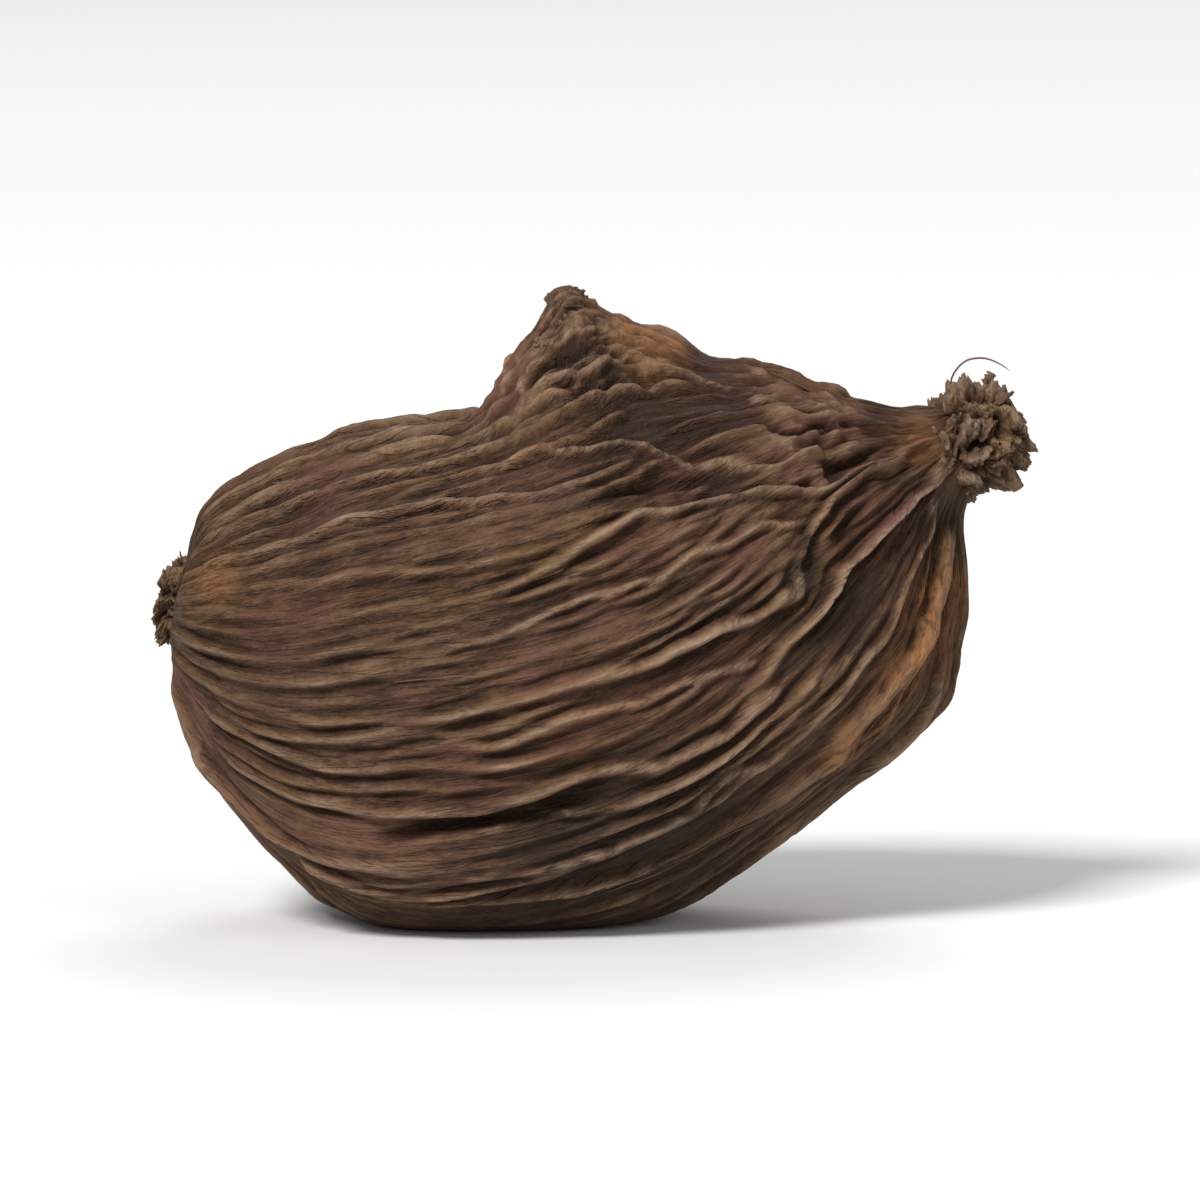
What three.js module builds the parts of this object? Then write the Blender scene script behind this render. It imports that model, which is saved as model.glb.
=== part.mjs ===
// A dried black cardamom pod, lying on the small flat spot of its underside.
// It grew as one piece, so it is one solid: a three-angled capsule with lengthwise ribs, a high
// top angle, a neck that bends up into the withered flower stump, and a stalk scar at the base.
// Millimetres, +Z up, the base at -X, the flower stump at +X, the resting plane at z = 0.

import * as THREE from "three";

// Driving dimensions
const LENGTH = 31.0; // overall, along X
const BODY_HEIGHT = 19.0; // of the round capsule, before its angles are added
const BODY_DEPTH = 19.0; // front to back, along Y
const TOP_ANGLE_HEIGHT = 3.4; // how far the top angle stands above the round capsule
const LOWER_ANGLE_HEIGHT = 0.9; // the same for the two lower angles
const NECK_DIAMETER = 3.9; // where the capsule narrows below the flower stump
const STUMP_DIAMETER = 3.7;
const RIB_COUNT = 20;
const RIB_HEIGHT = 0.42;
const FLAT_SPOT_DEPTH = 0.5; // how much of the round belly the resting plane takes off

// Mesh density
const STEPS_AROUND = 88;
const STEPS_ALONG = 46;

// The pod's middle line, from the base to the tip: shares of LENGTH along X, of BODY_DEPTH along Y
// and of BODY_HEIGHT along Z.
const MIDDLE_LINE = [
  [-0.5, 0.02, 0.621],
  [-0.306, -0.01, 0.568],
  [-0.097, -0.02, 0.553],
  [0.113, 0.0, 0.632],
  [0.306, 0.025, 0.816],
  [0.487, 0.045, 0.984],
];

// Half girths at stations of the middle line, as shares of half the body's height and depth.
const GIRTHS = [
  { at: 0.0, above: 0.8, below: 0.55, beside: 0.68 },
  { at: 0.1, above: 0.75, below: 0.76, beside: 0.8 },
  { at: 0.2, above: 0.77, below: 0.98, beside: 0.93 },
  { at: 0.3, above: 0.82, below: 1.1, beside: 1.0 },
  { at: 0.4, above: 0.89, below: 1.11, beside: 1.01 },
  { at: 0.5, above: 0.94, below: 1.08, beside: 0.97 },
  { at: 0.6, above: 0.9, below: 0.9, beside: 0.88 },
  { at: 0.7, above: 0.77, below: 0.84, beside: 0.76 },
  { at: 0.78, above: 0.56, below: 0.76, beside: 0.59 },
  { at: 0.84, above: 0.36, below: 0.53, beside: 0.39 },
];

// Where the neck and the stump's rim lie on the middle line.
const NECK_AT = 0.9;
const RIM_AT = 0.955;

// The round ends: their share of the middle line, and how blunt they are (2 is an ellipse).
const BASE_CAP = { share: 0.3, bluntness: 2.4 };
const TIP_CAP = { share: 0.045, bluntness: 3.0 };

// The stalk scar: a shallow dish in the middle of the base.
const SCAR_SHARE = 0.02;
const SCAR_DEPTH = 0.5;

// The three angles of the capsule, in degrees round the middle line: 0 faces the front, 90 is up.
const TOP_ANGLE = { degrees: 90, width: 20 };
const LOWER_ANGLES = [
  { degrees: -48, width: 24 },
  { degrees: 208, width: 26 },
];
const KEEL_SHARPNESS = 1.5; // 1 is a sharp edge, 2 a round one
const BELLY_STARTS = 0.3; // the lower angles stand at their full height from here
const BELLY_ENDS = 0.74; // to here

// The top angle's outline: low from the base, a steep rise to its peak, then a slope down to the neck.
const TOP_OUTLINE = [
  { at: 0.05, height: 0.0 },
  { at: 0.15, height: 0.06 },
  { at: 0.3, height: 0.05 },
  { at: 0.41, height: 0.08 },
  { at: 0.47, height: 0.46 },
  { at: 0.52, height: 0.78 },
  { at: 0.57, height: 1.0 },
  { at: 0.63, height: 0.89 },
  { at: 0.67, height: 0.74 },
  { at: 0.7, height: 0.6 },
  { at: 0.8, height: 0.2 },
  { at: 0.87, height: 0.0 },
];

// The ribs: how wide they are, how uneven, and where they rise from the base and sink to the neck.
const RIB_WIDTH = 5.5; // degrees
const RIB_UNEVENNESS = 0.6; // of their spacing and of their height
const RIBS_RISE = { from: 0.02, to: 0.2 };
const RIBS_SINK_FROM = 0.7;
const RIBS_SINK_BY = 0.6;

const STUMP_LUMPS = { amount: 0.13, around: 4, along: 80 };

const HUSK_COLOUR = 0x5b4335;

const UP = new THREE.Vector3(0, 0, 1);
const degrees = THREE.MathUtils.degToRad;
const smooth = THREE.MathUtils.smoothstep;

// A repeatable number between 0 and 1 for each whole number.
function scatter(index) {
  const wave = Math.sin(index * 12.9898 + 4.137) * 43758.5453;
  return wave - Math.floor(wave);
}

// A smooth curve through the keys' values, with level ends.
function through(keys, name, at) {
  if (at <= keys[0].at) return keys[0][name];
  const next = keys.findIndex((key) => key.at > at);
  if (next < 0) return keys.at(-1)[name];
  const slope = (i) => {
    const before = keys[i - 1];
    const after = keys[i + 1];
    return before && after ? (after[name] - before[name]) / (after.at - before.at) : 0;
  };
  const from = keys[next - 1];
  const to = keys[next];
  const span = to.at - from.at;
  const s = (at - from.at) / span;
  const start = (1 + 2 * s) * (1 - s) ** 2 * from[name] + s * (1 - s) ** 2 * span * slope(next - 1);
  const end = s * s * (3 - 2 * s) * to[name] - s * s * (1 - s) * span * slope(next);
  return start + end;
}

// 0 at a round end of the pod, rising to 1 where the cap meets the rest.
function roundEnd(distance, cap) {
  const left = Math.max(0, 1 - distance / cap.share);
  return (1 - left ** cap.bluntness) ** (1 / cap.bluntness);
}

// The signed angle from one direction to another, in degrees, between -180 and 180.
function turnBetween(from, to) {
  return THREE.MathUtils.euclideanModulo(to - from + 180, 360) - 180;
}

// A keel across the section: 1 on its line, falling to 0 on both sides.
function keel(angle, turn) {
  const away = Math.abs(turnBetween(angle.degrees, turn)) / angle.width;
  return Math.exp(-(away ** KEEL_SHARPNESS));
}

// The girth keys of the body, continued over the neck and the stump.
function allGirths() {
  const neck = NECK_DIAMETER / 2;
  const stump = STUMP_DIAMETER / 2;
  const body = GIRTHS.map(({ at, above, below, beside }) => ({
    at,
    above: (above * BODY_HEIGHT) / 2,
    below: (below * BODY_HEIGHT) / 2,
    beside: (beside * BODY_DEPTH) / 2,
  }));
  return [
    ...body,
    { at: NECK_AT, above: neck, below: neck, beside: neck },
    { at: RIM_AT, above: stump, below: stump, beside: stump },
    { at: 1, above: stump, below: stump, beside: stump },
  ];
}

const girths = allGirths();

// The plain section: a different quarter of an ellipse above and below the middle line.
function sectionRadius(at, turn) {
  const across = Math.cos(degrees(turn));
  const up = Math.sin(degrees(turn));
  const height = through(girths, up > 0 ? "above" : "below", at);
  const width = through(girths, "beside", at);
  return 1 / Math.hypot(across / width, up / height);
}

// The three angles, which fade out before the base and the neck.
function anglesHeight(at, turn) {
  const belly = smooth(at, 0, BELLY_STARTS) * (1 - smooth(at, BELLY_ENDS, NECK_AT));
  const top = TOP_ANGLE_HEIGHT * through(TOP_OUTLINE, "height", at) * keel(TOP_ANGLE, turn);
  const lower = LOWER_ANGLES.reduce((sum, angle) => sum + keel(angle, turn), 0);
  return top + LOWER_ANGLE_HEIGHT * belly * lower;
}

// Lengthwise ribs, uneven in spacing and height, that run from the base to the stump.
function ribsHeight(at, turn) {
  let height = 0;
  for (let rib = 0; rib < RIB_COUNT; rib += 1) {
    const place = ((rib + RIB_UNEVENNESS * scatter(rib)) * 360) / RIB_COUNT;
    const away = turnBetween(place, turn) / RIB_WIDTH;
    const share = 1 - RIB_UNEVENNESS * scatter(rib + RIB_COUNT);
    height += share * Math.exp(-away * away);
  }
  const risen = smooth(at, RIBS_RISE.from, RIBS_RISE.to);
  const sunk = RIBS_SINK_BY * smooth(at, RIBS_SINK_FROM, NECK_AT);
  return RIB_HEIGHT * height * risen * (1 - sunk);
}

// The ragged swelling of the withered flower at the tip.
function stumpFactor(at, turn) {
  const { amount, around, along } = STUMP_LUMPS;
  const lumps = Math.sin(around * degrees(turn)) * Math.cos(along * (at - NECK_AT));
  return 1 + amount * smooth(at, NECK_AT, RIM_AT) * lumps;
}

const middleLine = new THREE.CatmullRomCurve3(
  MIDDLE_LINE.map(
    ([x, y, z]) =>
      new THREE.Vector3(x * LENGTH, y * BODY_DEPTH, z * BODY_HEIGHT - FLAT_SPOT_DEPTH),
  ),
);

// A point of the pod's skin: at runs from 0 at the base to 1 at the tip, turn goes round it.
function skinPoint(at, turn) {
  const along = middleLine.getTangentAt(at);
  const front = new THREE.Vector3().crossVectors(along, UP).normalize();
  const above = new THREE.Vector3().crossVectors(front, along);
  const caps = roundEnd(at, BASE_CAP) * roundEnd(1 - at, TIP_CAP);
  const plain = sectionRadius(at, turn) * stumpFactor(at, turn);
  const radius = caps * (plain + anglesHeight(at, turn) + ribsHeight(at, turn));
  const scar = SCAR_DEPTH * (1 - smooth(at, 0, SCAR_SHARE));
  return middleLine
    .getPointAt(at)
    .addScaledVector(along, scar)
    .addScaledVector(front, radius * Math.cos(degrees(turn)))
    .addScaledVector(above, radius * Math.sin(degrees(turn)));
}

// A sphere's grid laid over the skin, pressed flat where it rests, centred over the origin.
function podGeometry() {
  const geometry = new THREE.SphereGeometry(1, STEPS_AROUND, STEPS_ALONG);
  const { position, uv } = geometry.attributes;
  for (let i = 0; i < position.count; i += 1) {
    const share = 1 - uv.getY(i);
    const at = (share + (1 - Math.cos(Math.PI * share)) / 2) / 2;
    const point = skinPoint(at, 360 * uv.getX(i));
    position.setXYZ(i, point.x, point.y, Math.max(point.z, 0));
  }
  geometry.computeBoundingBox();
  const middle = geometry.boundingBox.getCenter(new THREE.Vector3());
  geometry.translate(-middle.x, -middle.y, 0);
  geometry.computeVertexNormals();
  return geometry;
}

const husk = new THREE.MeshStandardMaterial({ color: HUSK_COLOUR, roughness: 0.85, metalness: 0 });
const pod = new THREE.Mesh(podGeometry(), husk);
pod.name = "pod";

const part = new THREE.Group();
part.add(pod);

export default part;
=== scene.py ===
"""The looks of a dried black cardamom pod: a ribbed husk grown over the CAD solid, its crumbled flower
stump and stalk stub, torn flakes, loose fibres, and a plain studio. Lengths are millimetres unless a
name says metres."""

import math
from types import SimpleNamespace

import bpy
import numpy as np
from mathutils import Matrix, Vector, noise
from mathutils.bvhtree import BVHTree

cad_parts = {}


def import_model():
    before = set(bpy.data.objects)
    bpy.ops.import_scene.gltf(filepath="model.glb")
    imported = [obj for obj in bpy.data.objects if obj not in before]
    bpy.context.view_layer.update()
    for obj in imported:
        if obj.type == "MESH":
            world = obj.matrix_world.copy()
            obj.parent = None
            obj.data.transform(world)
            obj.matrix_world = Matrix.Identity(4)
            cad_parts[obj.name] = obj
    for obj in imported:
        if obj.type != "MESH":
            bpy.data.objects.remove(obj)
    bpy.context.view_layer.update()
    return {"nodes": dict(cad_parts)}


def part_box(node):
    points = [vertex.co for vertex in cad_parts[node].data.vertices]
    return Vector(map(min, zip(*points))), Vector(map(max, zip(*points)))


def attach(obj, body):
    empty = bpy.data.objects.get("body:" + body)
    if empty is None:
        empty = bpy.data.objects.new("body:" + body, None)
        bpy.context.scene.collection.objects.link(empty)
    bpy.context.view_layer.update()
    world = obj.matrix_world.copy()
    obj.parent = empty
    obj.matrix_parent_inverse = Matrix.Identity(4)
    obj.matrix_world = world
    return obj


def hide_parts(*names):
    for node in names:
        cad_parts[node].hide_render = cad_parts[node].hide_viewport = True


SEED = 41
MM = 0.001

# Mesh density of the husk
STEPS_AROUND = 640
RINGS = 150

# The pod's middle line from the base to the tip, as shares of the CAD box along X, Y and Z
MIDDLE_LINE = [
    (0.08, 0.51, 0.478),
    (0.194, 0.492, 0.451),
    (0.403, 0.48, 0.439),
    (0.613, 0.5, 0.505),
    (0.806, 0.522, 0.658),
    (0.95, 0.538, 0.77),
]
LINE_STEPS = 40  # points of the line from each of its knots to the next

# Trial rings over the CAD skin, by which the husk's own rings are spaced evenly
TRIAL_RINGS = 500
TRIAL_TURNS = 16
TRIAL_MARGIN = 0.0005  # left out at both ends of the middle line

# The CAD skin is softened before the relief grows on it, but not at its two ends
SOFTENING_AROUND = STEPS_AROUND / 75  # grid steps
SOFTENING_ALONG = 1.6  # rings
SOFTENED_FROM = (0.0, 0.05)  # shares of the middle line
SOFTENED_TO = (0.9, 0.97)
GIRTH_BLUR = STEPS_AROUND / 12  # grid steps, for the radius that ribs are spaced and sized by
LEAST_GIRTH = 0.6

# How the whole relief settles on the CAD skin
NECK_AT = 0.9  # share of the middle line
STUMP_AT = 0.95
NECK_SINK = 0.7  # how far the husk draws in from the neck to the stump
SLIM_RADIUS = 4.5  # thinner than this, the relief shrinks with the pod
LEAST_SLIM = 0.45
RELIEF_SINK = 0.36  # so that the relief stands out and in evenly about the CAD skin
RELIEF_SOFTENING = 0.6  # rings, so that ridges which cross the grid don't bead
RESTING_RELIEF_ABOVE = 1.6  # the relief fades out below this height, where the pod rests
RELIEF_LEAN = 0.35  # how far high ribs lean over to one side, against their height
LEAN_CELLS = (14, 6)

# What runs from the base to the neck. past_shoulder is the share of the height left beyond the shoulder.
RIB_LEVELS = {
    "folds": dict(count=9, height=0.55, half_width=2.3, sharpness=1.5, groove=0.0, past_shoulder=1.0),
    "cords": dict(count=66, height=0.38, half_width=0.22, sharpness=1.2, groove=0.4, past_shoulder=0.75),
    "threads": dict(count=130, height=0.18, half_width=0.2, sharpness=1.2, groove=0.25, past_shoulder=0.5),
}
SHOULDER = (0.58, 0.82)  # shares of the middle line
RIBS_RISE = (0.0, 0.02)
RIB_TWIST = 42.0  # degrees, of all ribs from the base to the neck, most of it near the base
TWIST_MIDDLE = 0.67
RIB_UNEVENNESS = 0.3  # of the gap between two ribs
RIB_SWAY = 4.0  # degrees, of all ribs together
SWAY_BENDS = 4
RIB_WANDER = 3.0  # degrees, of each rib on its own
WANDER_BENDS = 6
RIB_KINKS = 1.0  # degrees
KINK_COUNT = 30
RIB_ROOM = 0.65  # the most that a rib's half width takes of the gap between two ribs
CREST_ROUNDING = 0.28  # of a rib's half width
GROOVE_AT = 1.45  # half widths from the crest
GROOVE_WIDTH = 0.55

# Every third rib runs into its neighbour, at some place along the pod
JOINED_EVERY = 3
JOIN_PLACES = (0.25, 0.85)
JOIN_REACH = 0.2

# The height of one rib, as a share of its level's: its mean, and what it gains and loses along the rib
RIB_SHARES = (0.5, 1.0)
RIB_MEAN = 0.8
RIB_SWELL = 0.5
SWELL_BENDS = 7
RIB_KNOBBLE = 0.25
KNOBBLE_BENDS = 30
RIB_LIMITS = (0.05, 1.3)

# The pod's own ridges on the front: a height, a half width and (x, z) points in the front view
FRONT_RIDGES = {
    "kinked": (0.8, 0.27, [
        (12.4, 16.2), (11.8, 15.6), (10.8, 15.0), (10.1, 14.4), (9.4, 13.7), (8.5, 13.1), (8.3, 12.4),
        (7.7, 11.5), (7.2, 11.0), (6.5, 10.4), (6.1, 9.8), (5.4, 8.4), (3.6, 6.9)]),
    "second": (0.7, 0.25, [
        (12.0, 17.2), (10.8, 16.8), (9.6, 16.3), (8.4, 15.6), (7.6, 14.7), (7.5, 13.6), (7.0, 12.4),
        (5.2, 11.4), (2.0, 10.1), (-3.6, 8.6), (-8.5, 7.0)]),
    "long": (0.52, 0.24, [
        (11.0, 17.0), (8.2, 16.0), (4.7, 15.7), (2.8, 15.3), (0.8, 14.8), (-1.4, 13.8), (-4.7, 11.9),
        (-9.0, 10.8)]),
    "upper_middle": (0.38, 0.2, [
        (7.2, 14.8), (5.2, 14.4), (2.6, 13.2), (-0.2, 12.4), (-2.8, 11.2), (-5.6, 10.2), (-9.5, 9.4)]),
    "lower_middle": (0.38, 0.2, [
        (5.6, 9.8), (3.2, 9.5), (1.4, 8.8), (-0.8, 8.3), (-3.6, 7.0), (-8.0, 6.6)]),
    "under_crest": (0.34, 0.2, [
        (9.4, 17.2), (6.8, 16.8), (3.2, 16.8), (0.8, 17.5), (-1.9, 17.4), (-5.5, 16.2), (-10.0, 14.6)]),
    "rolled_rim": (0.32, 0.22, [
        (4.6, 19.2), (2.6, 20.0), (1.3, 20.4), (0.0, 20.0), (-1.4, 19.4), (-2.6, 18.6), (-3.5, 17.6),
        (-5.0, 16.9)]),
    "peak_fold": (0.18, 0.2, [(1.2, 21.4), (-0.9, 21.2), (-1.9, 20.4), (-2.8, 19.3), (-3.8, 18.4)]),
    "lower_angle": (0.6, 0.55, [
        (12.5, 14.0), (12.1, 12.2), (11.7, 10.6), (11.0, 9.4), (10.2, 8.5), (8.7, 6.9), (8.2, 5.9),
        (6.9, 5.1), (6.0, 4.4), (4.4, 3.4), (1.8, 2.2)]),
    "beside_angle": (0.29, 0.22, [
        (12.2, 15.4), (11.3, 13.4), (10.2, 11.3), (8.9, 9.3), (7.2, 7.4), (5.2, 5.7), (2.9, 4.5),
        (0.2, 3.9)]),
    "above_crease": (0.44, 0.28, [
        (6.2, 9.0), (4.6, 7.4), (2.3, 6.5), (-0.4, 6.0), (-2.8, 5.3), (-7.0, 4.9)]),
    "low_band": (0.37, 0.25, [
        (6.6, 6.6), (5.0, 5.9), (3.7, 4.8), (0.2, 3.1), (-4.5, 2.4), (-8.5, 3.4)]),
}
RIDGE_RAGGEDNESS = 0.3
RAGGED_CELLS = (44, 24)
RIDGE_SHARPNESS = 1.2
RIDGE_GROOVE = 0.3
RIDGE_CLEARING = 0.9  # other cords give way this near a ridge, in heights of that ridge
RIDGE_STARTS = (-0.05, 0.04)  # shares of a ridge's length over which it rises and sinks
RIDGE_ENDS = (0.5, 1.0)
RIDGE_MEAN = 0.85  # share of its height, and what it gains and loses along the ridge
RIDGE_SWELL = 0.35
RIDGE_CELLS = (14, 16)
CORDS_CLEARED = 0.95

# Deep creases on the front: a depth, a half width and (x, z) points in the front view
CREASES = [
    (1.0, 0.42, [(-8.2, 4.1), (-6.5, 4.2), (-4.0, 4.4), (-1.5, 5.1), (0.6, 5.8)]),
    (0.8, 0.4, [(7.7, 14.6), (7.6, 13.4), (6.6, 12.1)]),
    (0.8, 0.35, [(0.6, 21.0), (-0.4, 20.7), (-1.1, 20.3), (-1.8, 19.8), (-2.4, 19.0)]),
    (0.6, 0.4, [(3.0, 19.2), (1.0, 19.6), (-0.8, 19.2), (-2.0, 18.2)]),
    (0.55, 0.35, [(5.2, 16.6), (2.4, 16.2), (-0.5, 15.9)]),
    (0.8, 0.36, [(7.7, 17.2), (8.4, 16.7), (9.2, 16.8), (10.2, 17.3)]),
    (0.65, 0.3, [(5.2, 18.0), (6.4, 17.7), (7.6, 18.0), (8.8, 17.9)]),
    (0.5, 0.35, [(9.6, 15.4), (8.9, 14.7), (8.4, 14.0)]),
]
CREASE_STARTS = (0.0, 0.3)  # shares of a crease's length
CREASE_ENDS = (0.7, 1.0)

# How what lies on the front ends where the skin turns to the back, by the skin's normal along Y
LINES_END = (-0.15, 0.05)
SPOTS_END = (-0.1, 0.3)
LEAST_FACING = 0.4
OUT_OF_REACH = 10.0

# Where the skin is worn to an orange brown: (x, z) on the front and a radius
WORN_SPOTS = [
    (11.9, 12.1, 1.1), (11.6, 11.0, 1.2), (11.2, 9.9, 1.0), (10.5, 9.0, 0.9), (10.0, 8.2, 0.7),
    (8.7, 7.0, 0.7), (8.4, 6.2, 0.6), (2.2, 20.8, 1.0), (0.9, 21.2, 0.7), (11.5, 17.3, 0.9),
    (-13.6, 12.6, 0.9),
]
WORN_FLAT = 0.65  # on the flat skin of a worn spot, and how much more on a full crest
WORN_CREST = 0.45
WORN_MEAN = 0.75  # what is left of it where it breaks up, and how much that varies
WORN_SWING = 0.8
WORN_CELLS = (60, 40)

# Scuffs on crests elsewhere
SCUFF_CELLS = (30, 22)
SCUFFED = (0.35, 0.8)
SCUFFED_CREST = (0.5, 0.9)
SCUFF_SHARE = 0.6

# Where the skin is smooth and ruddy: (x, z) on the front and a radius, and random patches all over
RUDDY_SPOTS = [
    (4.9, 13.8, 1.3), (4.8, 9.8, 1.3), (-2.4, 9.9, 1.5), (-4.9, 6.3, 1.3), (2.6, 16.6, 1.4),
    (4.2, 19.4, 1.2), (-6.7, 8.3, 1.0), (0.4, 11.6, 1.2), (6.8, 17.2, 1.3),
]
RUDDY_EDGE = (0.1, 1.0)
PATCH_CELLS = (22, 9)
PATCH_DETAIL = 0.4
PATCH_DETAIL_CELLS = (60, 20)
PATCH_EDGE = (0.0, 0.9)
PATCH_CALMS = 0.35  # how much lower cords and threads are there

# Where the skin is stained, and where shadow is painted low on the front near z 3: (x, z) on the front, a
# radius and how much darker it is (under 0 is paler)
STAINS_AND_PAINTED_SHADOW = [
    (1.6, 18.4, 2.6, 0.44), (5.0, 18.8, 1.5, 0.24), (9.6, 11.2, 2.0, 0.5), (11.4, 13.8, 1.5, 0.3),
    (2.5, 3.0, 3.6, 0.4), (-2.5, 3.2, 3.0, 0.34), (10.1, 18.1, 0.8, 0.3), (7.2, 17.2, 1.7, -0.44),
    (8.8, 16.6, 0.6, 0.3), (8.9, 14.7, 0.6, 0.25), (-0.9, 20.3, 0.7, 0.25),
]

# The high point of the top angle in the front view, and where the skin is crumpled: there, on the slopes
# beside it, and along the upper side to the neck, as (x, z), a reach and a height
PEAK = (-1.2, 21.6)
CRUMPLED_SPOTS = [
    (*PEAK, 1.4, 0.18), (1.6, 20.8, 1.5, 0.24), (-2.8, 19.0, 1.4, 0.26), (7.4, 17.4, 1.9, 0.46),
    (11.4, 17.6, 1.2, 0.25), (5.6, 19.2, 1.1, 0.28), (8.4, 18.3, 0.9, 0.28),
]
CRUMPLE_EDGE = 0.02
CRUMPLE_PALENESS = 1.6
CRUMPLE_FINENESS = np.array((0.75, 1.5, 1.5))  # against the crumbs of the stump, along X, Y and Z

# Where the husk is fuller than its relief makes it, or thinner (under 0): (x, z) in the front view, a
# reach and how much
FULLER_SPOTS = [(*PEAK, 2.6, 0.2), (-2.6, 19.8, 1.5, 0.6), (3.9, 20.5, 0.8, -0.35)]

# Uneven swelling over the seeds, and wrinkles across the ribs
SWELLING_HEIGHT = 0.28
SWELLING_CELLS = (11, 6)
WRINKLE_HEIGHT = 0.045
WRINKLE_CELLS = (70, 48)
FINE_WRINKLES = 0.6
FINE_WRINKLE_CELLS = (160, 50)

# How pale the crests are, and how far the fibres of the skin are missing on the front ridges
CORD_PALENESS = 0.75
THREAD_PALENESS = 0.6
RIDGE_PLAINNESS = 0.5

# Light and dark of the skin. What stands out from its blurred surroundings is paler; what lies below them
# is darker, as painted shade in the hollows.
TONE_BASE = 0.41
TONE_BLURS = [(8.5, 6, 0.6), (2.7, 2.5, 1.1)]  # grid steps, rings and a weight
STREAK_TONE = 0.1
STREAK_CELLS = (190, 12)
CLOUD_TONE = 0.08
CLOUD_CELLS = (30, 14)
# How much the deep creases are darkened, as painted shade
CREASE_PAINTED_SHADE = 0.42

# The fibres of the husk follow a cylinder of this size
GRAIN_RADIUS = 9.0
GRAIN_LENGTH = 36.0
GRAIN_POLES = [(0, 0, -1), (0, 0, GRAIN_LENGTH + 1)]

# Crumbled masses: their length, and their half thickness at shares of it
STUMP = {
    "length": 4.6,
    "radii": [(0.0, 1.3), (0.25, 1.55), (0.45, 1.7), (0.65, 1.8), (0.82, 1.6), (0.94, 1.1), (1.0, 0.4)],
    "roughness": 0.6,
}
STUMP_STARTS_AT = 0.86  # share of the middle line
STALK = {
    "length": 1.2,
    "radii": [(0.0, 1.9), (0.4, 1.6), (0.75, 1.35), (0.9, 1.0), (1.0, 0.5)],
    "roughness": 0.45,
}
STALK_SET_IN = 0.5  # share of its length that sits in the scar of the base
KNOB = {
    "length": 1.5,
    "radii": [(0.0, 1.0), (0.35, 0.8), (0.6, 0.75), (0.8, 0.6), (0.92, 0.42), (1.0, 0.15)],
    "roughness": 0.35,
}
KNOB_STANDS_OUT = 0.08
KNOB_WAY = np.array((-0.2, 0.0, 0.98))
KNOB_SEARCH = 0.4  # it stands on the highest point of the husk this near the peak
LUMP_RINGS = 120
LUMP_STEPS_AROUND = 200
# Tone of the crumbled masses: paler where crumbs stand out, darker as painted shade in their recesses
LUMP_TONE = 0.6
LUMP_CONTRAST = 2.0
LUMP_BLUR = (6, 4)

# What the crumbs are made of: noises per millimetre, with how much there is of each
WARP_SCALE = 0.9
WARP = 0.5
CRUMB_SCALE = 0.8
CRUMBS = 0.5
FOLD_SCALE = 0.7
FOLDS = 0.5
FOLD_FRACTAL = (0.6, 2.2, 5, 1.0, 2.0)  # roughness, ratio of sizes, their count, offset and gain
GRIT_SCALE = 2.5
GRIT = 0.3
GRIT_FRACTAL = (0.5, 2.1, 4)

# Torn flakes: small curled sheets
FLAKE_ROWS = 10
FLAKE_COLUMNS = 8
FLAKE_THICKNESS = 0.09
FLAKE_TEETH = 4

# Dried scales of the flower that wrap its stump
BRACT_COUNT = 12
BRACT_TURN = 0.382  # of a full turn, from one to the next
BRACT_LENGTHS = (0.5, 1.0)
BRACT_WIDTHS = (0.35, 0.8)

# Scraps of torn skin on the peak
SCRAP_COUNT = 5
SCRAP_REACH = 1.2
SCRAP_LENGTHS = (0.4, 0.8)
SCRAP_WIDTHS = (0.3, 0.6)

# Thin fibres that lie along the ribs
FIBRE_COUNT = 22
FIBRE_STARTS = (0.08, 0.8)  # shares of the middle line
FIBRE_RINGS = (8, 22)
FEWEST_FIBRE_RINGS = 6
LAST_FIBRE_RING = RINGS - 10
LOWEST_FIBRE = 0.5  # no loose fibre lies under the pod
FIBRE_WANDER = 0.7  # grid steps a ring
FIBRE_LIFT = (0.0, 0.3)
FIBRE_WIDTHS = (0.05, 0.09)
FIBRE_THICKNESS = 0.05

# The dry hair that arches over the stump, from its root inside it
STUMP_HAIR = [
    (12.9, 0.3, 17.9), (12.4, 0.3, 18.9), (12.7, 0.2, 19.8), (13.4, 0.0, 20.2), (14.2, -0.2, 20.0),
    (14.7, -0.3, 19.6),
]
HAIR_STEPS = 24
HAIR_WIDTH = 0.08
HAIR_THICKNESS = 0.07

# Colours, in linear light
VALLEY_BROWN = (0.029, 0.0132, 0.0064)
DARK_BROWN = (0.063, 0.031, 0.0155)
MID_BROWN = (0.116, 0.0635, 0.034)
LIGHT_BROWN = (0.168, 0.102, 0.06)
PALE_TAN = (0.25, 0.166, 0.11)
RUDDY_BROWN = (0.118, 0.043, 0.034)
WORN_ORANGE = (0.29, 0.126, 0.042)
YELLOW_TINT = (1.0, 0.96, 0.8)
GREY_TINT = (0.95, 0.96, 1.0)
# The lowest of these browns also carries the painted shade in hollows and creases
HUSK_BROWNS = [
    (0.05, VALLEY_BROWN), (0.3, DARK_BROWN), (0.52, MID_BROWN), (0.78, LIGHT_BROWN), (1.0, PALE_TAN),
]
FIBRE_BROWNS = [(0.3, DARK_BROWN), (0.7, LIGHT_BROWN)]
CLOUD_TINTS = [(0.3, YELLOW_TINT), (0.7, GREY_TINT)]

# The husk's noises, each with a factor along the fibres (under 1 draws it out), a scale, a detail and a
# roughness
FIBRE_NOISE = (0.14, 4.5, 4, 0.65)
SPECK_NOISE = (0.6, 3.4, 3, 0.65)
GRIT_NOISE = (0.3, 11, 3, 0.65)
THREAD_NOISE = (0.12, 2.6, 3, 0.6)
CLOUD_NOISE = (0.35, 0.5, 2, 0.5)
NOISE_SPREAD = (0.3, 0.7)

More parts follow.
